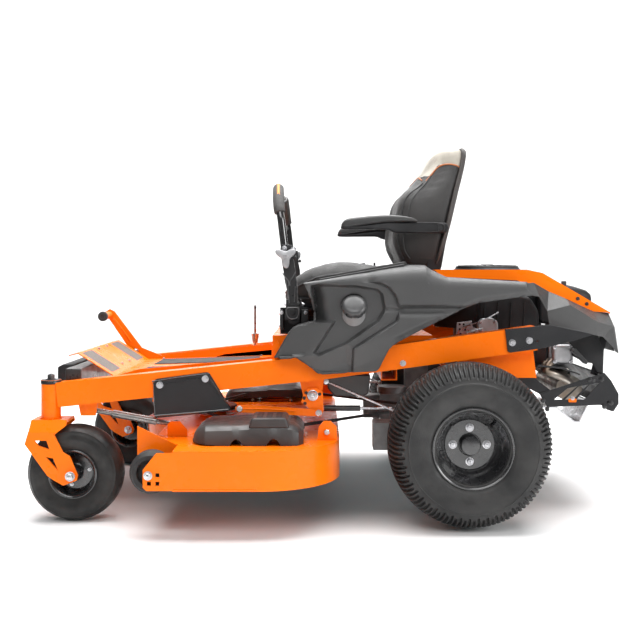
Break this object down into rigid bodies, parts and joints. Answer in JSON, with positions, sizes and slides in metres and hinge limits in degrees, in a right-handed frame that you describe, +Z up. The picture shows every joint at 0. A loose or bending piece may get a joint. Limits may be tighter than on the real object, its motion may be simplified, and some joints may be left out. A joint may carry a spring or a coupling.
{
  "type": "zero turn mower",
  "caption": "Ride-on zero turn mower with a wide raised cutting deck under an orange tube frame, grey fenders, lap bar steering, a high-backed seat and an exposed rear engine.",
  "frame": {"origin": "on the ground under the middle of the whole machine, discharge chute included", "axes": "+X to the rear (engine end) along the longest extent, +Y to the machine's right (chute side), +Z up"},
  "size_m": [1.878, 1.6075, 1.184],
  "materials": {
    "orange_paint": "glossy powder coat",
    "black_paint": "satin powder coat",
    "grey_plastic": "fine leather grain",
    "black_plastic": "matte moulded",
    "yellow_plastic": "gloss",
    "black_rubber": "matte",
    "tyre_rubber": "matte",
    "zinc_steel": "zinc plated",
    "blade_steel": "ground edge",
    "cast_aluminium": "as cast",
    "heat_steel": "heat dulled",
    "seat_vinyl": "matte vinyl over foam"
  },
  "bodies": {
    "chassis": {"frame_rails": "orange_paint", "cross_members": "orange_paint", "front_beam": "black_paint", "foot_platform": "orange_paint", "foot_grips": "black_rubber", "side_steps": "black_paint", "seat_box": "orange_paint", "left_fender": "grey_plastic", "right_fender": "grey_plastic", "rear_cover": "grey_plastic", "rear_trim": "orange_paint", "side_plates": "black_paint", "muffler_guard": "black_paint", "hitch_plate": "zinc_steel", "engine_block": "cast_aluminium", "blower_housing": "black_plastic", "air_cleaner": "black_plastic", "muffler": "heat_steel", "transaxles": "cast_aluminium", "frame_bolts": "zinc_steel", "lever_brackets": "black_paint"},
    "left_caster": {"left_caster_fork": "orange_paint"},
    "right_caster": {"right_caster_fork": "orange_paint"},
    "left_caster_wheel": {"left_caster_rim": "black_paint", "left_caster_tyre": "tyre_rubber"},
    "right_caster_wheel": {"right_caster_rim": "black_paint", "right_caster_tyre": "tyre_rubber"},
    "left_drive_wheel": {"left_drive_rim": "black_paint", "left_drive_tyre": "tyre_rubber"},
    "right_drive_wheel": {"right_drive_rim": "black_paint", "right_drive_tyre": "tyre_rubber"},
    "deck": {"deck_shell": "orange_paint", "belt_covers": "black_plastic", "deck_belt": "black_rubber"},
    "left_cutter": {"left_blade": "blade_steel"},
    "centre_cutter": {"centre_blade": "blade_steel"},
    "right_cutter": {"right_blade": "blade_steel"},
    "left_gauge_wheel": {"left_scalp_wheel": "black_rubber"},
    "right_gauge_wheel": {"right_scalp_wheel": "black_rubber"},
    "chute": {"discharge_chute": "black_plastic"},
    "clutch": {"pto_clutch": "black_paint"},
    "pedal": {"lift_pedal": "orange_paint"},
    "cranks": {"lift_shaft": "orange_paint"},
    "drag_bars": {"drag_links": "orange_paint"},
    "front_struts": {"front_links": "zinc_steel"},
    "seat_base": {"seat_plate": "black_paint"},
    "seat": {"seat_frame": "black_paint", "seat_cushion": "seat_vinyl", "seat_back": "seat_vinyl"},
    "left_arm": {"left_armrest": "black_plastic"},
    "right_arm": {"right_armrest": "black_plastic"},
    "left_lever_base": {"left_lap_pivot": "black_paint"},
    "right_lever_base": {"right_lap_pivot": "black_paint"},
    "left_lever": {"left_lap_bar": "black_paint"},
    "right_lever": {"right_lap_bar": "black_paint"},
    "cap": {"fuel_cap": "black_plastic"},
    "key": {"ignition_key": "black_plastic"},
    "blade_switch": {"pto_knob": "yellow_plastic"},
    "throttle": {"throttle_lever": "black_plastic"},
    "brake": {"brake_lever": "zinc_steel"}
  },
  "joints": [
    {"name": "left_caster_swivel", "type": "hinge", "parent": "chassis", "child": "left_caster", "pos_m": [-0.874, -0.544, 0.37], "axis": [0, 0, 1], "continuous": true},
    {"name": "left_caster_spin", "type": "hinge", "parent": "left_caster", "child": "left_caster_wheel", "pos_m": [-0.794, -0.544, 0.149], "axis": [0, 1, 0], "continuous": true},
    {"name": "left_drive_spin", "type": "hinge", "parent": "chassis", "child": "left_drive_wheel", "pos_m": [0.416, -0.6435, 0.254], "axis": [0, 1, 0], "continuous": true},
    {"name": "right_caster_swivel", "type": "hinge", "parent": "chassis", "child": "right_caster", "pos_m": [-0.874, 0.298, 0.37], "axis": [0, 0, 1], "continuous": true},
    {"name": "right_caster_spin", "type": "hinge", "parent": "right_caster", "child": "right_caster_wheel", "pos_m": [-0.794, 0.298, 0.149], "axis": [0, 1, 0], "continuous": true},
    {"name": "right_drive_spin", "type": "hinge", "parent": "chassis", "child": "right_drive_wheel", "pos_m": [0.416, 0.3975, 0.254], "axis": [0, 1, 0], "continuous": true},
    {"name": "deck_lift", "type": "slide", "parent": "chassis", "child": "deck", "axis": [0, 0, 1], "range_m": [-0.085, 0], "deforming": ["deck_belt"]},
    {"name": "pedal_rock", "type": "hinge", "parent": "chassis", "child": "pedal", "pos_m": [-0.759, 0.207, 0.462], "axis": [0, 1, 0], "range_deg": [0, 38.1]},
    {"name": "crank_turn", "type": "hinge", "parent": "chassis", "child": "cranks", "pos_m": [-0.056, -0.123, 0.387], "axis": [0, 1, 0], "range_deg": [0, 45.1]},
    {"name": "drag_slide", "type": "slide", "parent": "chassis", "child": "drag_bars", "axis": [1, 0, 0], "range_m": [-0.0488, 0]},
    {"name": "strut_swing", "type": "hinge", "parent": "chassis", "child": "front_struts", "pos_m": [-0.754, -0.123, 0.339], "axis": [0, 1, 0], "range_deg": [0, 18.8]},
    {"name": "clutch_spin", "type": "hinge", "parent": "chassis", "child": "clutch", "pos_m": [0.566, -0.123, 0.37], "axis": [0, 0, 1], "continuous": true},
    {"name": "left_blade_spin", "type": "hinge", "parent": "deck", "child": "left_cutter", "pos_m": [-0.213, -0.555, 0.158], "axis": [0, 0, 1], "continuous": true},
    {"name": "centre_blade_spin", "type": "hinge", "parent": "deck", "child": "centre_cutter", "pos_m": [-0.403, -0.123, 0.158], "axis": [0, 0, 1], "continuous": true},
    {"name": "right_blade_spin", "type": "hinge", "parent": "deck", "child": "right_cutter", "pos_m": [-0.213, 0.309, 0.158], "axis": [0, 0, 1], "continuous": true},
    {"name": "left_gauge_spin", "type": "hinge", "parent": "deck", "child": "left_gauge_wheel", "pos_m": [-0.524, -0.738, 0.19], "axis": [0, 1, 0], "continuous": true},
    {"name": "right_gauge_spin", "type": "hinge", "parent": "deck", "child": "right_gauge_wheel", "pos_m": [-0.524, 0.492, 0.19], "axis": [0, 1, 0], "continuous": true},
    {"name": "chute_flip", "type": "hinge", "parent": "deck", "child": "chute", "pos_m": [-0.338, 0.556, 0.25], "axis": [1, 0, 0], "range_deg": [0, 95]},
    {"name": "seat_tilt", "type": "hinge", "parent": "chassis", "child": "seat_base", "pos_m": [-0.15, -0.123, 0.59], "axis": [0, -1, 0], "range_deg": [0, 22]},
    {"name": "seat_slide", "type": "slide", "parent": "seat_base", "child": "seat", "axis": [1, 0, 0], "range_m": [-0.06, 0.03]},
    {"name": "left_armrest_flip", "type": "hinge", "parent": "seat", "child": "left_arm", "pos_m": [0.372, -0.411, 0.918], "axis": [0, 1, 0], "range_deg": [0, 80]},
    {"name": "left_lap_rock", "type": "hinge", "parent": "chassis", "child": "left_lever_base", "pos_m": [-0.118, -0.458, 0.627], "axis": [0, 1, 0], "range_deg": [-15, 10]},
    {"name": "left_lap_swing", "type": "hinge", "parent": "left_lever_base", "child": "left_lever", "pos_m": [-0.118, -0.458, 0.668], "axis": [1, 0, 0], "range_deg": [0, 30]},
    {"name": "right_armrest_flip", "type": "hinge", "parent": "seat", "child": "right_arm", "pos_m": [0.372, 0.165, 0.918], "axis": [0, 1, 0], "range_deg": [0, 80]},
    {"name": "right_lap_rock", "type": "hinge", "parent": "chassis", "child": "right_lever_base", "pos_m": [-0.118, 0.212, 0.627], "axis": [0, 1, 0], "range_deg": [-15, 10]},
    {"name": "right_lap_swing", "type": "hinge", "parent": "right_lever_base", "child": "right_lever", "pos_m": [-0.118, 0.212, 0.668], "axis": [-1, 0, 0], "range_deg": [0, 30]},
    {"name": "fuel_cap_turn", "type": "hinge", "parent": "chassis", "child": "cap", "pos_m": [0.071, -0.581, 0.642], "axis": [0, -0.8192, 0.5736], "range_deg": [0, 120]},
    {"name": "key_turn", "type": "hinge", "parent": "chassis", "child": "key", "pos_m": [0.185, 0.257, 0.785], "axis": [0, 0, 1], "range_deg": [-60, 0]},
    {"name": "blade_switch_pull", "type": "slide", "parent": "chassis", "child": "blade_switch", "axis": [0, 0, 1], "range_m": [0, 0.02]},
    {"name": "throttle_rock", "type": "hinge", "parent": "chassis", "child": "throttle", "pos_m": [0.126, 0.227, 0.745], "axis": [0, 1, 0], "range_deg": [-20, 10]},
    {"name": "brake_rock", "type": "hinge", "parent": "chassis", "child": "brake", "pos_m": [-0.291, 0.233, 0.47], "axis": [0, 1, 0], "range_deg": [0, 25]}
  ],
  "couplings": [
    {"joint": "pedal_rock", "follows": "deck_lift", "rad_per_m": -7.8},
    {"joint": "crank_turn", "follows": "deck_lift", "rad_per_m": -9.24},
    {"joint": "drag_slide", "follows": "deck_lift", "ratio": 0.573},
    {"joint": "strut_swing", "follows": "deck_lift", "rad_per_m": -3.84},
    {"joint": "left_blade_spin", "follows": "clutch_spin", "ratio": 0.9714},
    {"joint": "centre_blade_spin", "follows": "clutch_spin", "ratio": 0.9714},
    {"joint": "right_blade_spin", "follows": "clutch_spin", "ratio": 0.9714}
  ]
}
